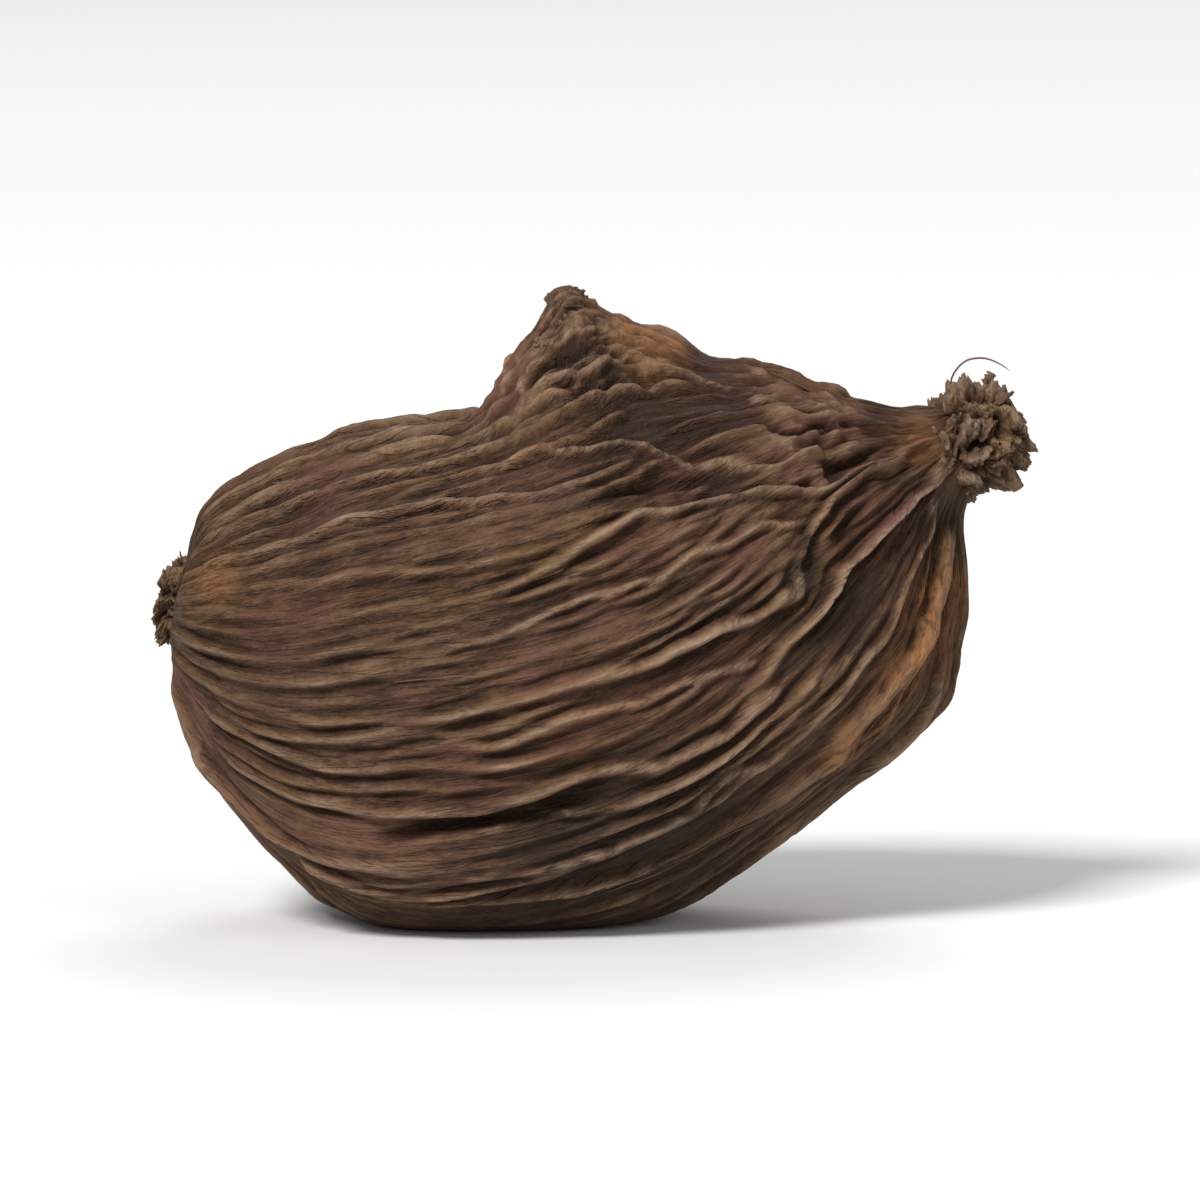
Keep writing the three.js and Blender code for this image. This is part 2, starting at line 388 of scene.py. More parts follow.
# What they do to its tone and to its bumps
FIBRE_TONE = 0.14
SPECK_TONE = 0.24
GRIT_TONE = 0.16
CRACK_TONE = -0.12
SPECK_BUMP = 0.4
CRACK_BUMP = -0.5
GRIT_BUMP = 0.45
HUSK_BUMP_METRES = 0.0001

# How one mask follows another: from low and high of the one to low and high of the other
CRACKS_BY_THREAD = (0.0, 0.03, 1, 0)
FIBROUS_BY_PLAIN = (0.1, 0.7, 1, 0.2)
RUDDY_BY_TONE = (0.2, 0.6, 0.15, 0.6)
PALE_BY_CREST = (0.35, 0.95, 0, 0.75)
PALE_BY_SPECK = (0.15, 0.7, 0.1, 1)
WORN_BY_SPECK = (0.1, 0.6, 0.25, 0.9)
BUMP_BY_RUDDY = (0, 1, 1, 0.75)
ROUGHNESS_BY_FIBRE = (0, 1, 0.85, 0.6)

# The material of flakes, fibres and hair, with its noises per metre
PATCH_NOISE = (900, 4)
STREAK_NOISE = (4000, 3)
STREAK_WEIGHT = 0.4
FIBRE_BUMP = 0.5
FIBRE_BUMP_METRES = 0.00005

# The camera, the floor and the lights
LENS = 250
ELEVATION = 5.0  # degrees
FRAME_FILL = 0.72
FLOOR_REACH_METRES = 4.0
LIGHTS_METRES = [
    dict(name="key_light", where=(-1.7, -2.9, 3.0), size=1.2, watts=230),
    dict(name="fill_light", where=(3.2, -2.6, 1.6), size=2.4, watts=36),
    dict(name="back_light", where=(0.8, 3.0, 3.0), size=2.0, watts=60),
]
WORLD_STRENGTH = 0.36

FRONT_TO_BACK = (0.0, 1.0, 0.0)
UP = (0, 0, 1)
TINY = 1e-12


def ease(low, high, value):
    """0 up to low, 1 from high on, and a smooth rise between them."""
    share = np.clip((value - low) / (high - low), 0, 1)
    return share * share * (3 - 2 * share)


def unit(vectors):
    return vectors / np.maximum(np.linalg.norm(vectors, axis=-1, keepdims=True), TINY)


def blur(field, steps, axis):
    """A Gaussian blur: axis 1 goes round the pod and closes on itself, axis 0 runs along it."""
    if axis == 0:
        edge = field.shape[0]
        padded = np.concatenate([field[::-1], field, field[::-1]], axis=0)
        return blur(padded.T, steps, 1).T[edge:2 * edge]
    frequency = np.fft.rfftfreq(field.shape[1])
    kernel = np.exp(-2 * (math.pi * frequency * steps) ** 2)
    return np.fft.irfft(np.fft.rfft(field, axis=1) * kernel, n=field.shape[1], axis=1)


def blur_both(field, around, along):
    return blur(blur(field, around, 1), along, 0)


def middle_line(tree, low, high):
    """The middle line as a fine row of points, from the skin of the base to the skin of the tip."""
    inner = low + np.array(MIDDLE_LINE) * (high - low)
    base = tree.ray_cast(Vector(inner[0]), Vector(inner[0] - inner[1]))[0]
    tip = tree.ray_cast(Vector(inner[-1]), Vector(inner[-1] - inner[-2]))[0]
    knots = np.vstack([np.array(base), inner, np.array(tip)])
    ends = np.vstack([2 * knots[0] - knots[1], knots, 2 * knots[-1] - knots[-2]])
    share = np.linspace(0, 1, LINE_STEPS, endpoint=False)[:, None]
    line = []
    for before, start, end, after in zip(ends, ends[1:], ends[2:], ends[3:]):
        bend = 2 * before - 5 * start + 4 * end - after
        twist = 3 * (start - end) + after - before
        line.append(start + 0.5 * share * (end - before + share * (bend + share * twist)))
    return np.vstack([*line, np.array(tip)])


def stations(line, shares):
    """Points of the middle line at shares of its length, and their along, front and above directions."""
    steps = np.linalg.norm(np.diff(line, axis=0), axis=1)
    reached = np.concatenate([[0], np.cumsum(steps)])
    reached /= reached[-1]
    tangents = unit(np.gradient(line, axis=0))
    point = np.stack([np.interp(shares, reached, line[:, i]) for i in range(3)], axis=1)
    along = unit(np.stack([np.interp(shares, reached, tangents[:, i]) for i in range(3)], axis=1))
    front = unit(np.cross(along, UP))
    above = np.cross(front, along)
    return point, along, front, above


def cast_radii(tree, line, shares, turns):
    """How far the CAD skin lies from the middle line, for each station and each of its turns."""
    point, _, front, above = stations(line, shares)
    radii = np.zeros(turns.shape)
    for i in range(len(shares)):
        start = Vector(point[i])
        ways = np.outer(np.cos(turns[i]), front[i]) + np.outer(np.sin(turns[i]), above[i])
        for j, way in enumerate(ways):
            distance = tree.ray_cast(start, Vector(way))[3]
            radii[i, j] = distance or 0.0
    return radii


def place(line, shares, turns, radii):
    """The points at those turns and radii round each station of the middle line."""
    point, _, front, above = stations(line, shares)
    across = np.cos(turns)[..., None] * front[:, None, :]
    up = np.sin(turns)[..., None] * above[:, None, :]
    return point[:, None, :] + radii[:, :, None] * (across + up)


def even_shares(tree, line, count):
    """Shares of the middle line whose rings lie evenly spaced on the skin."""
    dense = np.linspace(TRIAL_MARGIN, 1 - TRIAL_MARGIN, TRIAL_RINGS)
    turns = np.tile(np.linspace(0, math.tau, TRIAL_TURNS, endpoint=False), (len(dense), 1))
    points = place(line, dense, turns, cast_radii(tree, line, dense, turns))
    gaps = np.linalg.norm(np.diff(points, axis=0), axis=2).mean(axis=1)
    reached = np.concatenate([[0], np.cumsum(gaps)])
    wanted = np.linspace(0, reached[-1], count)
    return np.interp(wanted, reached, dense)


def grid_normals(points):
    """Outward normals of the grid's points."""
    along = np.gradient(points, axis=0)
    around = np.roll(points, -1, axis=1) - np.roll(points, 1, axis=1)
    return unit(np.cross(along, around))


def cad_skin(node):
    """The CAD solid as a tree for casting rays, and its low and high corner."""
    mesh = node.data
    corners = np.zeros(len(mesh.vertices) * 3)
    mesh.vertices.foreach_get("co", corners)
    corners = corners.reshape(-1, 3) / MM
    faces = [tuple(face.vertices) for face in mesh.polygons]
    tree = BVHTree.FromPolygons(corners.tolist(), faces)
    return tree, corners.min(axis=0), corners.max(axis=0)


def wrap_skin(node):
    """A fine grid over the CAD solid: its points, and where each lies along and round the pod."""
    tree, low, high = cad_skin(node)
    line = middle_line(tree, low, high)
    shares = even_shares(tree, line, RINGS)
    turns = np.linspace(0, math.tau, STEPS_AROUND, endpoint=False)
    ring = np.linspace(0, 1, RINGS)[:, None]
    twisted = turns + math.radians(RIB_TWIST) * (1 - (1 - ring) ** 2 - TWIST_MIDDLE)
    radii = cast_radii(tree, line, shares, twisted)
    softened = blur_both(radii, SOFTENING_AROUND, SOFTENING_ALONG)
    inner = ease(*SOFTENED_FROM, shares) * (1 - ease(*SOFTENED_TO, shares))
    radii = radii + (softened - radii) * inner[:, None]
    points = place(line, shares, twisted, radii)
    _, along, _, _ = stations(line, shares)
    return SimpleNamespace(
        at=shares[:, None],
        turn=turns[None, :],
        radius=np.maximum(blur(radii, GIRTH_BLUR, 1), LEAST_GIRTH),
        point=points,
        normal=grid_normals(points),
        along=along,
        base=line[0],
        tip=line[-1],
    )


def cells(rng, skin, around, along):
    """Smooth noise between -1 and 1, with that many cells round the pod and along it."""
    knots = rng.uniform(-1, 1, (along + 2, around))
    column = skin.turn / math.tau * around
    row = np.linspace(0, along, RINGS)[:, None]
    left = np.floor(column).astype(int)
    low = np.floor(row).astype(int)
    across = ease(0, 1, column - left)
    up = ease(0, 1, row - low)
    right = (left + 1) % around
    left = left % around
    lower = knots[low, left] * (1 - across) + knots[low, right] * across
    upper = knots[low + 1, left] * (1 - across) + knots[low + 1, right] * across
    return lower * (1 - up) + upper * up


def rough(rng, skin, around, along, octaves=3):
    """Noise of several sizes, each half the size of the one before."""
    total = 0
    for octave in range(octaves):
        total = total + cells(rng, skin, around * 2 ** octave, along * 2 ** octave) / 2 ** octave
    return total / 1.5


def drift(rng, count, straight=False):
    """A random line along the pod between -1 and 1, one number a ring: smooth, or kinked where straight."""
    knots = rng.uniform(-1, 1, count + 1)
    place_along = np.linspace(0, count, RINGS)
    if straight:
        place_along = place_along + abs(knots[0])  # so that neighbours don't kink at the same ring
    low = np.floor(place_along).astype(int)
    share = place_along - low
    if not straight:
        share = ease(0, 1, share)
    high = (low + 1) % len(knots)
    return (knots[low % len(knots)] * (1 - share) + knots[high] * share)[:, None]


def turn_between(start, end):
    return (end - start + math.pi) % math.tau - math.pi


def join_neighbours(rng, paths):
    """The same paths, with some of them led into the next one before or after a random place."""
    joined = list(paths)
    ring = np.linspace(0, 1, RINGS)[:, None]
    for i in range(0, len(paths), JOINED_EVERY):
        meet = rng.uniform(*JOIN_PLACES)
        pull = ease(meet - JOIN_REACH, meet + JOIN_REACH, ring)
        if rng.random() < 0.5:
            pull = 1 - pull
        joined[i] = paths[i] + pull * turn_between(paths[i], paths[(i + 1) % len(paths)])
    return joined


def rib_paths(rng, count):
    """The turn of each rib at every ring."""
    gap = math.tau / count
    sway = math.radians(RIB_SWAY) * drift(rng, SWAY_BENDS)
    wander = min(math.radians(RIB_WANDER), gap / 2)
    kinks = min(math.radians(RIB_KINKS), gap / 4)
    paths = []
    for i in range(count):
        start = gap * (i + rng.uniform(-RIB_UNEVENNESS, RIB_UNEVENNESS))
        wandering = start + sway + wander * drift(rng, WANDER_BENDS)
        paths.append(wandering + kinks * drift(rng, KINK_COUNT, straight=True))
    return join_neighbours(rng, paths)


def ridge_profile(away, sharpness, groove):
    """A crest with a groove on both sides, over the distance from it in half widths."""
    rounded = np.hypot(away, CREST_ROUNDING) - CREST_ROUNDING
    crest = np.clip(1 - rounded, 0, 1) ** sharpness
    dug = groove * np.exp(-((away - GROOVE_AT) / GROOVE_WIDTH) ** 2)
    return crest, dug


def comb(skin, paths, heights, level):
    """The highest rib at each point, as a height and as a share of that rib's own height."""
    height, depth, crest = np.zeros((3, *skin.point.shape[:2]))
    room = math.tau * skin.radius / len(paths)
    width = np.minimum(level["half_width"], RIB_ROOM * room)
    for path, rib_height in zip(paths, heights):
        away = np.abs(turn_between(path, skin.turn)) * skin.radius / width
        rise, dug = ridge_profile(away, level["sharpness"], level["groove"])
        height = np.maximum(height, rise * rib_height)
        depth = np.maximum(depth, dug * rib_height)
        crest = np.maximum(crest, rise * np.clip(rib_height / level["height"], 0, 1))
    return (height - depth * (1 - crest)) * width / level["half_width"], crest


def ribs(rng, skin, level):
    """One level of ribs, each with a height of its own that rises and falls along it."""
    paths = rib_paths(rng, level["count"])
    reach = 1 + (level["past_shoulder"] - 1) * ease(*SHOULDER, skin.at)
    risen = ease(*RIBS_RISE, skin.at)
    heights = []
    for _ in paths:
        share = rng.uniform(*RIB_SHARES)
        swell = RIB_SWELL * drift(rng, SWELL_BENDS)
        knobble = RIB_KNOBBLE * drift(rng, KNOBBLE_BENDS)
        own = share * (RIB_MEAN + swell + knobble)
        heights.append(level["height"] * np.clip(own, *RIB_LIMITS) * reach * risen)
    return comb(skin, paths, heights, level)


def front_distance(skin, points, ragged):
    """Distance in the front view from a bent line to every point of the front, and the share along it."""
    x = skin.point[..., 0] + ragged[0]
    z = skin.point[..., 2] + ragged[1]
    nearest = np.full(x.shape, np.inf)
    share = np.zeros_like(x)
    corners = np.array(points)
    lengths = np.linalg.norm(np.diff(corners, axis=0), axis=1)
    before = np.concatenate([[0], np.cumsum(lengths)])
    for i, length in enumerate(lengths):
        way = (corners[i + 1] - corners[i]) / length
        right = x - corners[i, 0]
        up = z - corners[i, 1]
        gone = np.clip(right * way[0] + up * way[1], 0, length)
        away = np.hypot(right - gone * way[0], up - gone * way[1])
        closer = away < nearest
        nearest = np.where(closer, away, nearest)
        share = np.where(closer, (before[i] + gone) / before[-1], share)
    behind = ease(*LINES_END, skin.normal[..., 1])
    facing = np.clip(-skin.normal[..., 1], LEAST_FACING, 1)
    return nearest / facing + OUT_OF_REACH * behind, share


def round_spot(skin, x, z, reach):
    """A soft round spot in the front view, on the front and on the back."""
    away = np.hypot(skin.point[..., 0] - x, skin.point[..., 2] - z) / reach
    return np.exp(-away ** 2)


def front_spot(skin, x, z, radius):
    return round_spot(skin, x, z, radius) * (1 - ease(*SPOTS_END, skin.normal[..., 1]))


def front_ridges(rng, skin, ragged):
    """The pod's own ridges: their height, their crests, and how near the closest one is."""
    height, depth, crest, near = np.zeros((4, *skin.point.shape[:2]))
    for ridge_height, half_width, points in FRONT_RIDGES.values():
        away, share = front_distance(skin, points, ragged)
        ends = ease(*RIDGE_STARTS, share) * (1 - ease(*RIDGE_ENDS, share))
        own = ridge_height * ends * (RIDGE_MEAN + RIDGE_SWELL * cells(rng, skin, *RIDGE_CELLS))
        rise, dug = ridge_profile(away / half_width, RIDGE_SHARPNESS, RIDGE_GROOVE)
        height = np.maximum(height, own * rise)
        depth = np.maximum(depth, own * dug)
        crest = np.maximum(crest, rise * ends)
        near = np.maximum(near, ends * np.exp(-(away / RIDGE_CLEARING / ridge_height) ** 2))
    return height - depth * (1 - crest), crest, near


def front_creases(skin, ragged):
    depth = np.zeros(skin.point.shape[:2])
    for crease_depth, half_width, points in CREASES:
        away, share = front_distance(skin, points, ragged)
        ends = ease(*CREASE_STARTS, share) * (1 - ease(*CREASE_ENDS, share))
        profile = np.clip(1 - away / half_width, 0, 1)
        depth = np.maximum(depth, crease_depth * profile * ends)
    return depth


def crumble(point):
    """Crumpled folds and crumbs of several sizes at a point."""
    spot = Vector(point)
    spot = spot + WARP * noise.noise_vector(spot * WARP_SCALE)
    crumbs = noise.noise(spot * CRUMB_SCALE, noise_basis="VORONOI_F2F1")
    folds = noise.ridged_multi_fractal(spot * FOLD_SCALE, *FOLD_FRACTAL)
    grit = noise.fractal(spot * GRIT_SCALE, *GRIT_FRACTAL)
    return CRUMBS * crumbs + FOLDS * folds + GRIT * grit


def even_out(rise):
    """The same unevenness about zero, mostly between -1 and 1."""
    return np.clip((rise - rise.mean()) / rise.std(), -2, 2.2) / 2


def crumpled_folds(skin):
    """Small lumps and folds where the skin is crumpled, their crests, and how crumpled it is."""
    height, crest, crumpled = np.zeros((3, *skin.point.shape[:2]))
    for x, z, reach, spot_height in CRUMPLED_SPOTS:
        near = round_spot(skin, x, z, reach)
        inside = near > CRUMPLE_EDGE
        rise = even_out(np.array([crumble(CRUMPLE_FINENESS * point) for point in skin.point[inside]]))
        height[inside] += spot_height * near[inside] * rise
        pale = near[inside] * np.clip(CRUMPLE_PALENESS * rise, 0, 1)
        crest[inside] = np.maximum(crest[inside], pale)
        crumpled = np.maximum(crumpled, near)
    return height, crest, crumpled


def smooth_patches(rng, skin):
    """How smooth and ruddy the skin is."""
    patches = cells(rng, skin, *PATCH_CELLS) + PATCH_DETAIL * cells(rng, skin, *PATCH_DETAIL_CELLS)
    smooth = ease(*PATCH_EDGE, patches)
    for spot in RUDDY_SPOTS:
        smooth = np.maximum(smooth, ease(*RUDDY_EDGE, front_spot(skin, *spot)))
    return smooth


def cross_wrinkles(rng, skin):
    coarse = cells(rng, skin, *WRINKLE_CELLS)
    return WRINKLE_HEIGHT * (coarse + FINE_WRINKLES * cells(rng, skin, *FINE_WRINKLE_CELLS))


def settle(skin, height):
    """The relief softened, and faded out where the pod is slim, where it rests and below the stump."""
    softened = blur(height, RELIEF_SOFTENING, 0)
    sunk = ease(NECK_AT, STUMP_AT, skin.at)
    slim = np.clip(skin.radius / SLIM_RADIUS, LEAST_SLIM, 1)
    lifted = ease(0, RESTING_RELIEF_ABOVE, skin.point[..., 2])
    return softened * slim * lifted * (1 - sunk) - NECK_SINK * sunk


def skin_relief(rng, skin):
    """How far each point of the husk stands out from the CAD skin, and the masks that colour it."""
    ragged = [RIDGE_RAGGEDNESS * rough(rng, skin, *RAGGED_CELLS, octaves=2) for _ in range(2)]
    smooth = smooth_patches(rng, skin)
    swelling = SWELLING_HEIGHT * rough(rng, skin, *SWELLING_CELLS, octaves=2)
    levels = [ribs(rng, skin, level) for level in RIB_LEVELS.values()]
    (folds, _), (cords, cord_crest), (threads, thread_crest) = levels
    ridges, ridge_crest, near = front_ridges(rng, skin, ragged)
    wrinkles = cross_wrinkles(rng, skin)
    creases = front_creases(skin, ragged)
    crumples, crumple_crest, crumpled = crumpled_folds(skin)
    calm = 1 - PATCH_CALMS * smooth
    clear = 1 - CORDS_CLEARED * near
    height = swelling + folds + cords * clear * calm + ridges
    height = height + threads * calm * (1 - ridge_crest) + wrinkles
    fuller = sum(amount * round_spot(skin, *spot) for *spot, amount in FULLER_SPOTS)
    pale_cords = CORD_PALENESS * cord_crest * clear * calm
    pale_threads = THREAD_PALENESS * thread_crest * calm
    return SimpleNamespace(
        height=settle(skin, height + crumples - creases - RELIEF_SINK + fuller),
        crest=np.maximum.reduce([pale_cords, pale_threads, ridge_crest, crumple_crest]),
        ruddy=smooth,
        crease=creases,
        plain=np.maximum(crumpled, RIDGE_PLAINNESS * ridge_crest),
    )


def grow(rng, skin, relief):
    """Moves the skin out by its relief. High ribs lean over to one side."""
    lean = RELIEF_LEAN * cells(rng, skin, *LEAN_CELLS)
    around = unit(np.roll(skin.point, -1, axis=1) - np.roll(skin.point, 1, axis=1))
    step = relief.height[..., None] * (skin.normal + lean[..., None] * around)
    grown = skin.point + step
    grown[..., 2] = np.maximum(grown[..., 2], 0)
    return grown


def worn_mask(rng, skin, relief):
    """Where the skin is worn: at the worn spots, and scuffed on crests elsewhere."""
    mask = np.zeros(skin.point.shape[:2])
    for spot in WORN_SPOTS:
        mask = np.maximum(mask, front_spot(skin, *spot))
    scuffs = ease(*SCUFFED, cells(rng, skin, *SCUFF_CELLS)) * ease(*SCUFFED_CREST, relief.crest)
    broken = WORN_MEAN + WORN_SWING * rough(rng, skin, *WORN_CELLS)
    worn = np.maximum(mask * (WORN_FLAT + WORN_CREST * relief.crest), SCUFF_SHARE * scuffs)
    return np.clip(worn * broken, 0, 1)


def tone_and_painted_shade(rng, skin, relief):
    """Light and dark of the skin: pale on what stands out, and painted shade in what lies deep and in the
    creases.
    """
    stands_out = 0
    for around, along, weight in TONE_BLURS:
        stands_out = stands_out + weight * (relief.height - blur_both(relief.height, around, along))
    streaks = STREAK_TONE * cells(rng, skin, *STREAK_CELLS) + CLOUD_TONE * rough(rng, skin, *CLOUD_CELLS)
    # Real stains, but the two spots low on the front are painted shadow
    stains_and_shadow = sum(dark * front_spot(skin, *spot) for *spot, dark in STAINS_AND_PAINTED_SHADOW)
    # The creases are darkened as painted shade
    return np.clip(TONE_BASE + stands_out + streaks - stains_and_shadow - CREASE_PAINTED_SHADE * relief.crease, 0, 1)


def closed_grid(points, base, tip):
    """The points and faces of rings that close on a point at each end."""
    rings, around = points.shape[:2]
    first = np.arange(rings * around).reshape(rings, around)
    following = np.roll(first, -1, axis=1)
    quads = np.stack([first[:-1], first[1:], following[1:], following[:-1]], axis=-1).reshape(-1, 4)
    start = np.full(around, rings * around)
    base_fan = np.stack([start, first[0], following[0]], axis=-1)
    tip_fan = np.stack([start + 1, following[-1], first[-1]], axis=-1)
    faces = quads.tolist() + base_fan.tolist() + tip_fan.tolist()
    return np.vstack([points.reshape(-1, 3), base, tip]), faces


def smooth_mesh(name, points, faces):
    mesh = bpy.data.meshes.new(name)
    mesh.from_pydata((points * MM).tolist(), [], faces)
    mesh.shade_smooth()
    return mesh


def paint(mesh, name, values):
    """A number for each point of the grid. The point at each end gets the mean of the ring beside it."""
    ends = [values[0].mean(), values[-1].mean()]
    layer = mesh.attributes.new(name, "FLOAT", "POINT")
    layer.data.foreach_set("value", np.concatenate([values.ravel(), ends]).astype(np.float32))


def paint_grain(mesh, grain, ends):
    """Coordinates, in millimetres, that follow the fibres of the husk."""
    layer = mesh.attributes.new("grain", "FLOAT_VECTOR", "POINT")
    values = np.vstack([grain.reshape(-1, 3), *ends])
    layer.data.foreach_set("vector", values.astype(np.float32).ravel())


def husk_grain(skin):
    """Round the pod on a circle, and along it."""
    along = np.linspace(0, GRAIN_LENGTH, RINGS)[:, None]
    across = GRAIN_RADIUS * np.cos(skin.turn)
    up = GRAIN_RADIUS * np.sin(skin.turn)
    return np.stack(np.broadcast_arrays(across, up, along), axis=-1)


class Nodes:
    """Short calls for building a material's node tree."""

    MIX_FIRST, MIX_SECOND, MIX_RESULT = 6, 7, 2  # the colour sockets of a mix node

    def __init__(self, name):
        self.material = bpy.data.materials.new(name)
        self.material.use_nodes = True
        self.tree = self.material.node_tree
        self.shader = self.tree.nodes["Principled BSDF"]

    def set(self, socket, value):
        if isinstance(value, bpy.types.NodeSocket):
            self.tree.links.new(value, socket)
        elif socket.type == "RGBA":
            socket.default_value = (*value, 1)
        else:
            socket.default_value = value

    def add(self, kind, output, inputs, **settings):
        node = self.tree.nodes.new(kind)
        for key, value in settings.items():
            setattr(node, key, value)
        for key, value in inputs.items():
            self.set(node.inputs[key], value)
        return node.outputs[output]

    def attribute(self, name, output="Fac"):
        return self.add("ShaderNodeAttribute", output, {}, attribute_name=name)

    def noise(self, vector, scale, detail, roughness=0.6):
        inputs = {"Vector": vector, "Scale": scale, "Detail": detail, "Roughness": roughness}
        return self.add("ShaderNodeTexNoise", "Fac", inputs)

    def grain_noise(self, grain, along, scale, detail, roughness):
        """Noise that is drawn out along the fibres."""
        inputs = {"Vector": grain, "Scale": (1, 1, along)}
        drawn_out = self.add("ShaderNodeMapping", "Vector", inputs)
        return self.noise(drawn_out, scale, detail, roughness)

    def math(self, operation, first, second=0.0, third=0.0):
        inputs = {0: first, 1: second, 2: third}
        return self.add("ShaderNodeMath", "Value", inputs, operation=operation)

    def times(self, first, second):
        return self.math("MULTIPLY", first, second)

    def plus(self, value, layer, weight):
        return self.math("MULTIPLY_ADD", layer, weight, value)

    def vary(self, value, layer, weight):
        """Adds a layer between 0 and 1 in such a way that the mean stays the same."""
        return self.plus(self.math("SUBTRACT", value, weight / 2), layer, weight)

    def mix(self, factor, first, second, blend="MIX"):
        inputs = {"Factor": factor, self.MIX_FIRST: first, self.MIX_SECOND: second}
        settings = {"data_type": "RGBA", "blend_type": blend}
        return self.add("ShaderNodeMix", self.MIX_RESULT, inputs, **settings)

    def ramp(self, factor, stops):
        node = self.tree.nodes.new("ShaderNodeValToRGB")
        ramp = node.color_ramp
        while len(ramp.elements) < len(stops):
            ramp.elements.new(1.0)
        for element, (position, colour) in zip(ramp.elements, stops):
            element.position = position
            element.color = (*colour, 1)
        self.set(node.inputs["Fac"], factor)
        return node.outputs["Color"]

    def range(self, value, low, high, new_low, new_high):
        inputs = {"Value": value, "From Min": low, "From Max": high, "To Min": new_low, "To Max": new_high}
        return self.add("ShaderNodeMapRange", "Result", inputs)

    def bump(self, height, strength, distance):
        inputs = {"Height": height, "Strength": strength, "Distance": distance}
        return self.add("ShaderNodeBump", "Normal", inputs)

    def finish(self, **inputs):
        for key, value in inputs.items():
            self.set(self.shader.inputs[key.replace("_", " ")], value)
        return self.material


def husk_layers(nodes, grain):
    """Fibres, specks, grit and fine cracks, each between 0 and 1. Plain skin has few fibres and cracks."""
    noises = [nodes.grain_noise(grain, *size) for size in (FIBRE_NOISE, SPECK_NOISE, GRIT_NOISE)]
    fibre, speck, grit = [nodes.range(layer, *NOISE_SPREAD, 0, 1) for layer in noises]
    thread = nodes.math("SUBTRACT", nodes.grain_noise(grain, *THREAD_NOISE), 0.5)
    cracks = nodes.range(nodes.math("ABSOLUTE", thread), *CRACKS_BY_THREAD)
    fibrous = nodes.range(nodes.attribute("plain"), *FIBROUS_BY_PLAIN)
    return nodes.times(fibre, fibrous), speck, grit, nodes.times(cracks, fibrous)


def husk_colour(nodes, grain, fibre, speck, grit, cracks):
    """Browns by tone, tinted in clouds, then ruddy patches, pale crests and worn spots."""
    tone = nodes.vary(nodes.attribute("tone"), fibre, FIBRE_TONE)
    tone = nodes.vary(tone, speck, SPECK_TONE)
    tone = nodes.vary(tone, grit, GRIT_TONE)
    tone = nodes.plus(tone, cracks, CRACK_TONE)
    tint = nodes.ramp(nodes.grain_noise(grain, *CLOUD_NOISE), CLOUD_TINTS)
    brown = nodes.mix(1.0, nodes.ramp(tone, HUSK_BROWNS), tint, "MULTIPLY")
    ruddy = nodes.times(nodes.attribute("ruddy"), nodes.range(tone, *RUDDY_BY_TONE))
    skin = nodes.mix(ruddy, brown, RUDDY_BROWN)
    crest = nodes.range(nodes.attribute("crest"), *PALE_BY_CREST)
    rubbed = nodes.times(crest, nodes.range(speck, *PALE_BY_SPECK))
    skin = nodes.mix(rubbed, skin, PALE_TAN)
    worn = nodes.times(nodes.attribute("worn"), nodes.range(speck, *WORN_BY_SPECK))
    return nodes.mix(worn, skin, WORN_ORANGE)


def husk_material():
    nodes = Nodes("dry_husk")
    grain = nodes.attribute("grain", "Vector")
    fibre, speck, grit, cracks = husk_layers(nodes, grain)
    height = nodes.plus(fibre, cracks, CRACK_BUMP)
    height = nodes.plus(height, speck, SPECK_BUMP)
    height = nodes.plus(height, grit, GRIT_BUMP)
    height = nodes.times(height, nodes.range(nodes.attribute("ruddy"), *BUMP_BY_RUDDY))
    return nodes.finish(
        Base_Color=husk_colour(nodes, grain, fibre, speck, grit, cracks),
        Roughness=nodes.range(fibre, *ROUGHNESS_BY_FIBRE),
        Specular_IOR_Level=0.22,
        Normal=nodes.bump(height, 1.0, HUSK_BUMP_METRES),
    )


def fibre_material(name):
    nodes = Nodes(name)
    place_on = nodes.add("ShaderNodeTexCoord", "Object", {})
    patch = nodes.noise(place_on, *PATCH_NOISE)
    streak = nodes.noise(place_on, *STREAK_NOISE)
    tone = nodes.vary(patch, streak, STREAK_WEIGHT)
    return nodes.finish(
        Base_Color=nodes.ramp(tone, FIBRE_BROWNS),
        Roughness=0.8,
        Specular_IOR_Level=0.3,
        Normal=nodes.bump(streak, FIBRE_BUMP, FIBRE_BUMP_METRES),
    )


def add_object(name, mesh, material):
    piece = bpy.data.objects.new(name, mesh)
    bpy.context.scene.collection.objects.link(piece)
    mesh.materials.append(material)
    return piece


def strip(path, side, widths, thickness):
    """A thin strip with four edges and pointed ends along a path, as its points and faces."""
    along = unit(np.gradient(path, axis=0))
    side = unit(side - along * (side * along).sum(axis=1, keepdims=True))
    up = np.cross(along, side)
    half = widths[:, None] / 2
    deep = np.minimum(thickness / 2, half)
    rows = np.stack([path + side * half, path - up * deep, path - side * half, path + up * deep], axis=1)
    return closed_grid(rows, path[0] - along[0] * half[0], path[-1] + along[-1] * half[-1])


def sheets_object(name, sheets, material):
    """One object of many strips or flakes, each given as its points and faces."""
    points = []
    faces = []
    for own_points, own_faces in sheets:
        offset = sum(len(row) for row in points)
        points.append(own_points)
        faces += [tuple(index + offset for index in face) for face in own_faces]
    return add_object(name, smooth_mesh(name, np.vstack(points), faces), material)


def smooth_path(path, reach):
    """A path whose points are the means of their neighbours up to that many points away."""
    count = 2 * reach + 1
    padded = np.pad(path, ((reach, reach), (0, 0)), "edge")
    return np.stack([np.convolve(row, np.ones(count) / count, "valid") for row in padded.T], axis=1)


def taper(count):
    """Shares of a strip's width, which narrows to points at both ends."""
    return 0.12 + 0.88 * np.sin(np.linspace(0.08, 0.97, count) * math.pi) ** 0.8


